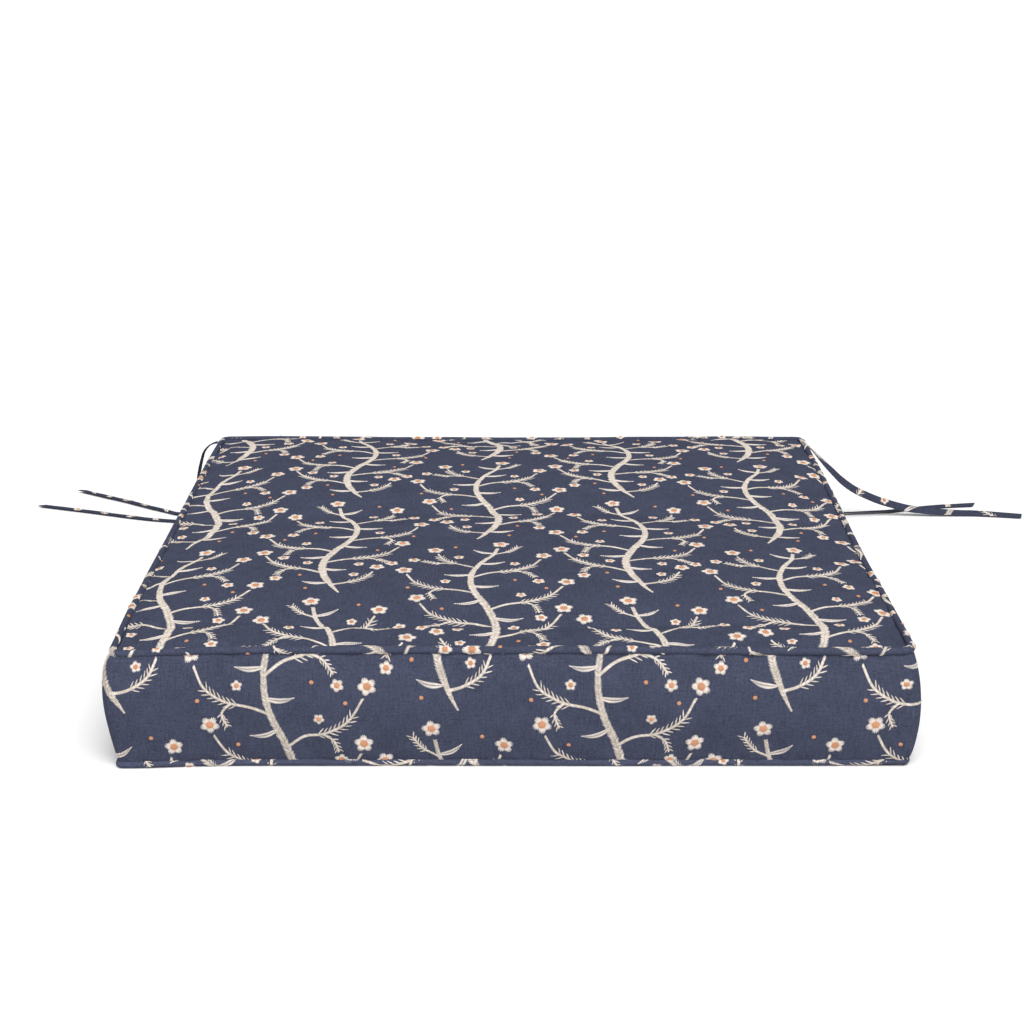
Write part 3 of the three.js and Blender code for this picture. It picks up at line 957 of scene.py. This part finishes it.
# The piping's cloth is the cover cloth made lighter, the lower ring more than the upper: painted light
for name, height, corner, seed, radius, painted_light_scale in [
    ("piping_top", UPPER_SEAM, UPPER_CORNER, UPPER_SEED, UPPER_PIPING, 1.04),
    ("piping_bottom", LOWER_PIPING, LOWER_CORNER, LOWER_SEED, LOWER_PIPING, 1.16),
]:
    piping_finish = woven_finish(name + "_cloth", painted_light_scale, bias=math.radians(45))
    run = PipingRun(height, corner, seed, radius)
    piping_runs[name] = run
    along = np.broadcast_to(run.along[:-1, None], (PIPING_STEPS, PIPING_SIDES))
    turn = np.arange(PIPING_SIDES)[None, :] * math.tau / PIPING_SIDES * np.ones_like(along)
    wrinkle = 0.05 * mm * np.sin(along * 900 + turn * 2) * ripple(along, [0.05, 0.03], seed + 5)
    points = run.place(along, turn, wrinkle)
    points[..., 2] = np.maximum(points[..., 2], FLOOR_CLEARANCE)
    ring = np.arange(PIPING_SIDES)
    step = np.arange(PIPING_STEPS)
    here = step[:, None] * PIPING_SIDES + ring[None, :]
    beside = step[:, None] * PIPING_SIDES + (ring[None, :] + 1) % PIPING_SIDES
    wrap = PIPING_STEPS * PIPING_SIDES
    corners = [here, (here + PIPING_SIDES) % wrap, (beside + PIPING_SIDES) % wrap, beside]
    quads = np.stack(corners, axis=-1)
    edge_u = np.stack([run.along[:-1], run.along[1:], run.along[1:], run.along[:-1]], axis=-1)
    edge_v = np.stack([ring, ring, ring + 1, ring + 1], axis=-1) * math.tau / PIPING_SIDES * radius
    shape = (PIPING_STEPS, PIPING_SIDES, 4)
    edges = [np.broadcast_to(edge_u[:, None], shape), np.broadcast_to(edge_v[None], shape)]
    spots = np.stack(edges, axis=-1)
    points, quads = points.reshape(-1, 3), quads.reshape(-1, 4)
    piece = add_piece(name + "_cloth", points, quads, piping_finish, spots)
    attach(piece, "root")
    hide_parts(name)

# The embroidery.
# Machine embroidery that the cloth carries before it is cut. Leafy sprays stand in a half-drop
# repeat, with chain-stitched stems, satin-stitched leaves and petals, and knots of terracotta
# yarn. The seams cut through the sprays, and scraps of them show on the piping and the ties.
YARNS = {
    "thread_beige": (0.640, 0.565, 0.480),
    "thread_cream": (0.790, 0.710, 0.640),
    "thread_terracotta": (0.600, 0.290, 0.160),
}
YARN_WIDTH = 1.15 * mm
TWIST_PITCH = 0.55 * mm
PLAIT_SHARE = 0.35  # of the second yarn in a stem or a twig
SATIN_RISE = 0.38 * mm
KNOT_RISE = 0.6 * mm
YARN_SUNK = -0.12 * mm  # the edges of the stitches sink a little into the cloth
STITCH_CLEARANCE = 0.02 * mm  # over the surface that the cushion lies on
SPRAY_COLUMN = 105 * mm
SPRAY_REPEAT = 212 * mm
SPRAY_REACH = 120 * mm  # from its middle to its furthest stitch, and a little more


class Stitches:
    """Single stitches on flat cloth, kept by yarn as small patches of faces."""

    def __init__(self, seed):
        self.patches = {yarn: [] for yarn in YARNS}
        self.dice = np.random.default_rng(seed)

    def add(self, yarn, places, heights, run, step):
        """Adds like grids of places, with their heights and their places along the yarn."""
        number, rows, columns = heights.shape
        table = np.concatenate([places, np.stack([heights, run, step], axis=-1)], axis=-1)
        starts = np.arange(number)[:, None, None] * rows * columns
        quads = (grid_faces(rows, columns) + starts).reshape(-1, 4)
        self.patches[yarn].append((table.reshape(-1, 5), quads))

    def merged(self, yarn):
        """All the patches of one yarn as one table of points and one of faces."""
        tables = [table for table, _ in self.patches[yarn]]
        starts = np.cumsum([0] + [len(table) for table in tables[:-1]])
        faces = [quads + start for (_, quads), start in zip(self.patches[yarn], starts)]
        return np.concatenate(tables), np.concatenate(faces)

    def lay(self, yarn, starts, ends, width=YARN_WIDTH, rise=SATIN_RISE, rows=3):
        """Straight stitches between pairs of points, each a low ridge of yarn."""
        way = ends - starts
        length = np.maximum(np.linalg.norm(way, axis=1), 1e-6)
        side = np.stack([-way[:, 1], way[:, 0]], axis=1) / length[:, None]
        share = np.linspace(0, 1, rows)
        plump = np.sin(math.pi * (0.14 + 0.72 * share)) ** 0.6
        columns = np.array([-1.0, 0.0, 1.0])
        reach = width / 2 * plump[:, None] * columns
        places = (
            starts[:, None, None]
            + way[:, None, None] * share[:, None, None]
            + side[:, None, None] * reach[:, :, None]
        )
        crest = rise * (0.25 + 0.75 * np.sin(math.pi * share))
        heights = np.where(columns == 0, crest[:, None], YARN_SUNK) + 0 * places[..., 0]
        dye = self.dice.uniform(0, 1, len(starts))[:, None, None]
        run = dye + length[:, None, None] * share[:, None] + 0 * heights
        self.add(yarn, places, heights, run, dye + reach + 0 * heights)

    def knots(self, yarn, centres, radius, rise=KNOT_RISE, sectors=8):
        """Round coiled knots."""
        centres = np.array(centres, float).reshape(-1, 2) * mm
        rings = np.array([0.0, 0.6, 1.0])
        height = np.array([0.9 * rise, rise, YARN_SUNK])
        angle = np.linspace(0, math.tau, sectors + 1)
        ring = np.stack([np.cos(angle), np.sin(angle)], axis=-1) * radius * mm
        places = centres[:, None, None] + rings[:, None, None] * ring
        heights = height[:, None] + 0 * places[..., 0]
        dye = self.dice.uniform(0, 1, len(centres))[:, None, None]
        coil = rings[:, None] * radius * mm + angle / math.tau * 0.8 * mm
        run = dye + angle * radius * mm + 0 * heights
        self.add(yarn, places, heights, run, dye + coil + 0 * heights)

    def marks(self, route, pitch):
        """Points at an even pitch along a route, with the headings and the sides there."""
        line = flowing(np.array(route, float) * mm, 40 * len(route))
        along = run_lengths(line)
        marks = np.arange(pitch * mm / 2, along[-1], pitch * mm)
        middle = np.stack([np.interp(marks, along, line[:, i]) for i in range(2)], axis=1)
        heading = np.gradient(middle, axis=0)
        heading /= np.linalg.norm(heading, axis=1)[:, None]
        side = np.stack([-heading[:, 1], heading[:, 0]], axis=1)
        return middle, heading, side

    def mixed(self, yarns, starts, ends, width, rise):
        """Stitches of the first yarn with some of the second among them."""
        second = self.dice.uniform(0, 1, len(starts)) < PLAIT_SHARE
        for yarn, chosen in zip(yarns, (~second, second)):
            self.lay(yarn, starts[chosen], ends[chosen], width, rise)

    def plait(self, yarns, route, widths, pitch=1.0):
        """A thick stem of slanting stitches of mixed yarns, from its middle to its ragged edges."""
        middle, heading, side = self.marks(route, pitch)
        stop = np.linspace(0, 1, len(widths))
        reach = np.interp(np.linspace(0, 1, len(middle)), stop, widths) * mm / 2
        for hand in (-1, 1):
            ragged = reach * (1 + self.dice.uniform(-0.16, 0.14, len(middle)))
            starts = middle - heading * reach[:, None] * 0.6 - side * hand * 0.3 * mm
            ends = middle + heading * reach[:, None] * 0.2 + side * hand * ragged[:, None]
            self.mixed(yarns, starts, ends, pitch * mm * 1.05, SATIN_RISE * 1.2)

    def rope(self, yarns, route, foot, tip, pitch=1.0):
        """A round twig of stitches that slant across it, narrowing from its foot to its tip."""
        middle, heading, side = self.marks(route, pitch)
        reach = np.linspace(foot, tip, len(middle))[:, None] * mm / 2
        starts = middle - side * reach - heading * reach * 0.9
        ends = middle + side * reach + heading * reach * 0.9
        self.mixed(yarns, starts, ends, pitch * mm * 1.25, SATIN_RISE * 1.25)

    def barbs(self, yarns, route, first, last, length=5.6, pitch=3.5):
        """Short straight stitches in pairs, pointing forward along a stretch of a twig."""
        middle, heading, side = self.marks(route, pitch)
        share = np.linspace(0, 1, len(middle))
        chosen = (share >= first) & (share <= last)
        middle, heading, side = middle[chosen], heading[chosen], side[chosen]
        for hand in (-1, 1):
            size = length * mm * self.dice.uniform(0.82, 1.12, len(middle))[:, None]
            starts = middle + side * hand * 0.5 * mm
            ends = middle + (heading * 0.74 + side * hand * 0.70) * size
            self.mixed(yarns, starts, ends, 1.15 * mm, SATIN_RISE)

    def leaf(self, yarn, foot, tip, width, bend=0.0, widest=0.45, pitch=1.05):
        """A pointed leaf of slanting stitches, laid in pairs from its vein to its edges."""
        foot, tip = np.array(foot, float) * mm, np.array(tip, float) * mm
        chord = tip - foot
        length = np.linalg.norm(chord)
        sideways = np.array([-chord[1], chord[0]]) * bend
        count = max(4, round(length / (pitch * mm)))

        def vein(share):
            share = np.clip(share, 0, 1)[:, None]
            return foot + chord * share + sideways * 4 * share * (1 - share)

        share = (np.arange(count) + 1.0) / (count + 0.6)
        warped = share ** (math.log(0.5) / math.log(widest))
        spread = width * mm / 2 * np.sin(math.pi * warped) ** 0.75
        normal = np.array([-chord[1], chord[0]]) / length
        for hand in (-1, 1):
            edge = spread * (1 + self.dice.uniform(-0.10, 0.06, count))
            starts = vein(share - 1.05 * spread / length) + normal * hand * 0.12 * mm
            ends = vein(share) + normal * hand * edge[:, None]
            self.lay(yarn, starts, ends, pitch * mm * 0.98)
        self.lay(yarn, vein(share[-2:-1]), tip[None] + chord[None] * 0.02, pitch * mm)

    def blossom(self, centre, size, turn=0.0, petals=5, heart="thread_terracotta"):
        """Fans of cream stitches for rounded petals, round a heart of another yarn."""
        centre = np.array(centre, float) * mm
        spread = np.array([-0.40, -0.24, -0.08, 0.08, 0.24, 0.40])
        reach = np.array([0.38, 0.46, 0.50, 0.50, 0.46, 0.38])
        petal = np.arange(petals)[:, None] * math.tau / petals + turn
        angle = (petal + spread * math.tau / petals).ravel()
        inner = (petal + spread * 0.8 * math.tau / petals).ravel()
        reach = np.tile(reach, petals) * size * mm
        ends = centre + np.stack([np.cos(angle), np.sin(angle)], axis=1) * reach[:, None]
        starts = centre + np.stack([np.cos(inner), np.sin(inner)], axis=1) * size * 0.17 * mm
        self.lay("thread_cream", starts, ends, size * 0.105 * mm)
        self.knots(heart, [centre / mm], size * 0.24)


def leafy_spray():
    """One spray, about 200 mm tall, on cloth coordinates with their origin at its middle."""
    work = Stitches(5)
    beige_mix, cream = ("thread_beige", "thread_cream"), "thread_cream"
    stem = [(7, -101), (1, -88), (-6, -67), (-8, -44), (-2, -20)]
    stem += [(7, 4), (10, 30), (4, 56), (-5, 76), (-8, 90)]
    work.plait(beige_mix, stem, (1.4, 4.8, 5.6, 5.4, 5.2, 4.8, 4.4, 3.8, 3.2, 2.6))
    twigs = [
        {"route": [(-6, -66), (-18, -58), (-31, -52), (-43, -41), (-50, -27)], "barbs": (0.30, 0.78)},
        {"route": [(-7, -44), (6, -39), (21, -35), (35, -27), (43, -13)], "barbs": (0.28, 0.72)},
        {"route": [(-3, -22), (-14, -15), (-29, -11), (-43, -2), (-52, 13)], "barbs": (0.32, 0.80)},
        {"route": [(6, 2), (18, 7), (34, 11), (47, 20), (54, 35)], "barbs": (0.30, 0.74)},
        {"route": [(10, 28), (-2, 37), (-18, 42), (-31, 51), (-38, 65)], "barbs": (0.34, 0.80)},
        {"route": [(7, 48), (17, 54), (28, 63), (34, 77)], "barbs": (0.30, 0.82)},
        {"route": [(0, -88), (12, -84), (22, -77), (28, -65)], "barbs": (0.28, 0.80)},
    ]
    for twig in twigs:
        work.rope(beige_mix, twig["route"], 2.2, 1.7)
        work.barbs(beige_mix, twig["route"], *twig["barbs"])
    sprigs = [
        [(-28, -54), (-35, -59), (-38, -67)],
        [(20, -35), (29, -40), (36, -46)],
        [(-26, -12), (-33, -17), (-36, -26)],
        [(31, 10), (37, 3), (34, -7)],
        [(-16, 42), (-27, 38), (-34, 29)],
        [(22, 58), (34, 57), (44, 62)],
        [(-5, 76), (-15, 82), (-22, 92)],
    ]
    for sprig in sprigs:
        work.rope(beige_mix, sprig, 1.7, 1.4)
        work.barbs(beige_mix, sprig, 0.35, 1.0, 4.0, 2.8)
    leaves = [
        [(-2, -84), (-19, -80), 3.9, 0.10],
        [(-8, -56), (9, -60), 3.7, -0.12],
        [(-6, -32), (-25, -33), 3.9, 0.12],
        [(2, -8), (20, -13), 3.7, -0.14],
        [(9, 14), (-9, 14), 3.9, 0.12],
        [(10, 34), (28, 34), 3.7, -0.10],
        [(4, 56), (-13, 60), 3.7, 0.12],
        [(-6, 78), (9, 86), 3.5, -0.12],
    ]
    for foot, tip, width, bend in leaves:
        work.leaf(cream, foot, tip, width, bend)
    blossoms = [
        [(-52, -19), 12.5, 0.3],
        [(45, -5), 12.5, 0.9],
        [(-55, 21), 12.5, 1.2],
        [(56, 43), 12.5, 0.1],
        [(-40, 73), 12, 0.7],
        [(36, 85), 12, 0.4],
        [(30, -56), 11, 1.0],
        [(-10, 98), 12.5, 0.5],
        [(-38, -73), 9.5, 0.2],
        [(40, -49), 9, 0.8],
        [(-37, -32), 9, 0.5],
        [(-36, 22), 9, 1.1],
        [(50, 64), 9, 0.6],
        [(-19, -44), 7.5, 0.1],
        [(17, -49), 7.5, 0.6],
        [(-24, -1), 7.5, 0.9],
        [(27, 22), 7.5, 0.3],
        [(-20, 56), 7.5, 0.8],
        [(19, 70), 7.5, 0.2],
        [(15, -70), 7.5, 0.5],
    ]
    for centre, size, turn in blossoms:
        work.blossom(centre, size, turn)
    seeds = [(-22, -68), (28, -20), (-41, 10), (-16, -92), (-20, 24), (52, 12), (22, 92)]
    work.knots("thread_terracotta", seeds, 1.6, KNOT_RISE * 0.8, 6)
    return work


spray = leafy_spray()


def half_drop(low, high, shift=(0, 0), turn=0.0):
    """Places, turn and handedness of every spray that reaches a stretch of cloth."""
    spots = []
    cosine, sine = math.cos(turn), math.sin(turn)
    low_u, low_v = low[0] - SPRAY_REACH, low[1] - SPRAY_REACH
    high_u, high_v = high[0] + SPRAY_REACH, high[1] + SPRAY_REACH
    corners = np.array([(u, v) for u in (low_u, high_u) for v in (low_v, high_v)])
    turned = corners @ np.array([[cosine, -sine], [sine, cosine]])
    first = np.floor((turned.min(axis=0) - shift) / (SPRAY_COLUMN, SPRAY_REPEAT)).astype(int)
    last = np.ceil((turned.max(axis=0) - shift) / (SPRAY_COLUMN, SPRAY_REPEAT)).astype(int)
    for column in range(first[0], last[0] + 1):
        for row in range(first[1] - 1, last[1] + 1):
            across = column * SPRAY_COLUMN + shift[0]
            along = (row + (column % 2) / 2) * SPRAY_REPEAT + shift[1]
            u = across * cosine - along * sine
            v = across * sine + along * cosine
            if low_u < u < high_u and low_v < v < high_v:
                spots.append((u, v, turn, 1 if column % 2 else -1))
    return spots


def thread_finish(name, colour):
    """Soft twisted yarn, a little glossy, whose stitches vary slightly in tone at random, with painted
    shade in the grooves of its twist.
    """
    finish, start = new_finish(name)
    spot = start.node("ShaderNodeUVMap", {"uv_map": "UVMap"}, {})
    parts = start.node("ShaderNodeSeparateXYZ", {}, {0: spot})
    twist = abs(parts[0].maths("SINE", (parts[0] * 0.6 + parts[1]) * (math.pi / TWIST_PITCH)))
    fuzz = spot.noise((1500, 1500, 1), 2.0)
    dye_lot = spot.noise((40, 40, 1), 1.0)
    # The twist term darkens the colour in the grooves between the twist's ridges: painted shade. Fuzz and
    # dye_lot vary the tone at random.
    shade = (twist - 0.6) * 0.45 + (fuzz - 0.5) * 0.9 + (dye_lot - 0.5) * 1.1 + 0.6
    dark = tuple(0.66 * part for part in colour) + (1,)
    light = tuple(min(1.0, 1.14 * part) for part in colour) + (1,)
    mixed = start.node("ShaderNodeMix", {"data_type": "RGBA"}, {0: shade, 6: dark, 7: light})
    sockets = {"Height": twist + fuzz * 0.6, "Strength": 0.6, "Distance": 0.12 * mm}
    bump = start.node("ShaderNodeBump", {}, sockets)
    sockets = {"Base Color": mixed[2], "Roughness": 0.7, "Specular IOR Level": 0.12, "Normal": bump}
    shader = start.node("ShaderNodeBsdfPrincipled", {}, sockets)
    start.node("ShaderNodeOutputMaterial", {}, {"Surface": shader})
    return finish


thread_finishes = {yarn: thread_finish(yarn, colour) for yarn, colour in YARNS.items()}


def sew(name, work, low, high, spots, place):
    """Cuts embroidery at the edges of a stretch of cloth, and lays it on the cloth."""
    low, high = np.array(low), np.array(high)
    for yarn in YARNS:
        if not work.patches[yarn]:
            continue
        flat, quads = work.merged(yarn)
        tables, faces, count = [], [], 0
        for u, v, turn, hand in spots:
            table = flat.copy()
            across, along = flat[:, 0] * hand, flat[:, 1]
            table[:, 0] = across * math.cos(turn) - along * math.sin(turn) + u
            table[:, 1] = across * math.sin(turn) + along * math.cos(turn) + v
            inside = ((table[:, :2] > low) & (table[:, :2] < high)).all(axis=1)
            kept = quads[inside[quads].any(axis=1)]
            if len(kept):
                used, renumbered = np.unique(kept, return_inverse=True)
                renumbered = renumbered.reshape(kept.shape)
                tables.append(table[used])
                faces.append((renumbered if hand > 0 else renumbered[:, ::-1]) + count)
                count += len(used)
        if not tables:
            continue
        table, faces = np.concatenate(tables), np.concatenate(faces)
        table[:, :2] = np.clip(table[:, :2], low, high)
        points = place(table[:, 0], table[:, 1], table[:, 2])
        points[:, 2] = np.maximum(points[:, 2], STITCH_CLEARANCE)
        piece = add_piece(f"{name}_{yarn}", points, faces, thread_finishes[yarn], table[faces][..., 3:5])
        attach(piece, "root")


def read_grid(table, row, column, closed=False):
    """A grid's value at fractional rows and columns."""
    row = np.clip(row, 0, table.shape[0] - 1.000001)
    count = table.shape[1]
    column = column % count if closed else np.clip(column, 0, count - 1.000001)
    low_row, low_column = np.floor(row).astype(int), np.floor(column).astype(int)
    next_column = (low_column + 1) % count
    down, over = (row - low_row)[:, None], (column - low_column)[:, None]
    near = table[low_row, low_column] * (1 - over) + table[low_row, next_column] * over
    far = table[low_row + 1, low_column] * (1 - over) + table[low_row + 1, next_column] * over
    return near * (1 - down) + far * down


def panel_placer(table, facing):
    """Lays cloth places on a panel: facing is 1 for the top, and -1 for the underside."""
    normals = grid_normals(table) * facing
    line, number = side_line(FINE_STEPS), np.arange(FINE_STEPS + 1)

    def place(u, v, height):
        row = np.interp(v, line, number)
        column = np.interp(u * facing, line, number)
        return read_grid(table, row, column) + read_grid(normals, row, column) * height[:, None]

    return place


def boxing_placer(table):
    """Lays cloth places on the boxing strip."""
    normals = -grid_normals(table, closed=True)
    places, number = np.append(strip_place, ROUND), np.arange(4 * FINE_STEPS + 1)
    shares, rows = strip_line(FINE_ROWS), np.arange(FINE_ROWS + 1)

    def place(u, v, height):
        row = np.interp(1 - v / (UPPER_SEAM - LOWER_SEAM), shares, rows)
        column = np.interp(u, places, number)
        out = read_grid(normals, row, column, True) * height[:, None]
        return read_grid(table, row, column, True) + out

    return place


EDGE = SEAM_HALF - 1.2 * mm  # the embroidery goes on under the piping
STRIP_EDGE = 0.8 * mm  # along each seam of the boxing, where no stitches are laid
TOP_SHIFT = (-18 * mm, 40 * mm)  # of the sprays from the middle of the panel
UNDERSIDE_SHIFT = (30 * mm, -25 * mm)
BOXING_SHIFT = (22 * mm, 34 * mm)
panel_low, panel_high = (-EDGE, -EDGE), (EDGE, EDGE)
top_spots = half_drop(panel_low, panel_high, TOP_SHIFT)
sew("top", spray, panel_low, panel_high, top_spots, panel_placer(top, 1))
under_spots = half_drop(panel_low, panel_high, UNDERSIDE_SHIFT)
sew("underside", spray, panel_low, panel_high, under_spots, panel_placer(under, -1))
strip_low, strip_high = (0, STRIP_EDGE), (ROUND, UPPER_SEAM - LOWER_SEAM - STRIP_EDGE)
boxing_spots = half_drop(strip_low, strip_high, BOXING_SHIFT)
sew("boxing", spray, strip_low, strip_high, boxing_spots, boxing_placer(boxing))

BIAS = math.radians(45)
PIPING_WRAP = math.radians(150)  # how far round the cord the strip shows, from straight out


def piping_placer(run):
    """Lays cloth places round a ring of piping."""
    def place(u, v, height):
        return run.place(u, v / run.radius, height)

    return place


for name, shift in [("piping_top", (12 * mm, 31 * mm)), ("piping_bottom", (60 * mm, 5 * mm))]:
    run = piping_runs[name]
    reach = PIPING_WRAP * run.radius
    low, high = (0, -reach), (run.length, reach)
    sew(name, spray, low, high, half_drop(low, high, shift, BIAS), piping_placer(run))


def tie_placer(run):
    """Lays cloth places on the outer face of a tie."""
    def place(u, v, height):
        return run.place(u, v, half_thickness(v) + height)

    return place


# What the cutting left of the sprays on each tie, by its distance along the tie
TIE_SCRAPS = {
    "tie_right_a": [
        {"kind": "twig", "at": 20, "slant": 24},
        {"kind": "twig", "at": 84, "slant": 3},
        {"kind": "blossom", "at": 111, "slant": 2},
        {"kind": "leaf", "at": 138, "slant": 4},
        {"kind": "stem", "at": 172, "slant": 4},
        {"kind": "twig", "at": 206, "slant": -9},
    ],
    "tie_right_b": [
        {"kind": "leaf", "at": 36, "slant": 3},
        {"kind": "twig", "at": 105, "slant": 4},
        {"kind": "twig", "at": 165, "slant": -3},
        {"kind": "stem", "at": 211, "slant": 2},
    ],
    "tie_left_a": [
        {"kind": "leaf", "at": 40, "slant": 4},
        {"kind": "twig", "at": 112, "slant": 5},
        {"kind": "stem", "at": 141, "slant": 3},
        {"kind": "twig", "at": 166, "slant": -2},
        {"kind": "twig", "at": 193, "slant": 4},
        {"kind": "blossom", "at": 221, "slant": 0},
    ],
    "tie_left_b": [
        {"kind": "leaf", "at": 84, "slant": 4},
        {"kind": "leaf", "at": 124, "slant": 5},
        {"kind": "twig", "at": 149, "slant": 5},
        {"kind": "twig", "at": 172, "slant": -3},
        {"kind": "stem", "at": 194, "slant": 2},
        {"kind": "leaf", "at": 217, "slant": 4},
    ],
}


def scraps_of(spots):
    """Scraps of stems, twigs, leaves and blossoms that cross a strip of cloth."""
    work = Stitches(9)
    beige_mix = ("thread_beige", "thread_cream")
    for spot in spots:
        at, slant = spot["at"], spot["slant"]
        route = [(at - slant, -6), (at, 0), (at + slant * 0.8, 6)]
        if spot["kind"] == "stem":
            work.plait(beige_mix, route, (5.0, 5.0))
        elif spot["kind"] == "twig":
            work.rope(beige_mix, route, 2.4, 2.2)
            work.barbs(beige_mix, route, 0, 1)
        elif spot["kind"] == "leaf":
            work.leaf("thread_cream", (at - 7, -slant), (at + 7, slant), 3.6, 0.08)
        else:
            work.blossom((at, slant), 9)
    return work


TIE_REACH = TIE_WIDTH / 2 * 0.93
for name, spots in TIE_SCRAPS.items():
    run = tie_runs[name]
    work = scraps_of(spots)
    low, high = (0, -TIE_REACH), (run.length - TIE_SLANT_LENGTH * 0.5, TIE_REACH)
    sew(name, work, low, high, [(0, 0, 0, 1)], tie_placer(run))

sizes = {}
for name, box in {"cad": cad_box, "visual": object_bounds()}.items():
    sizes[name] = [[float(part) for part in corner] for corner in box]
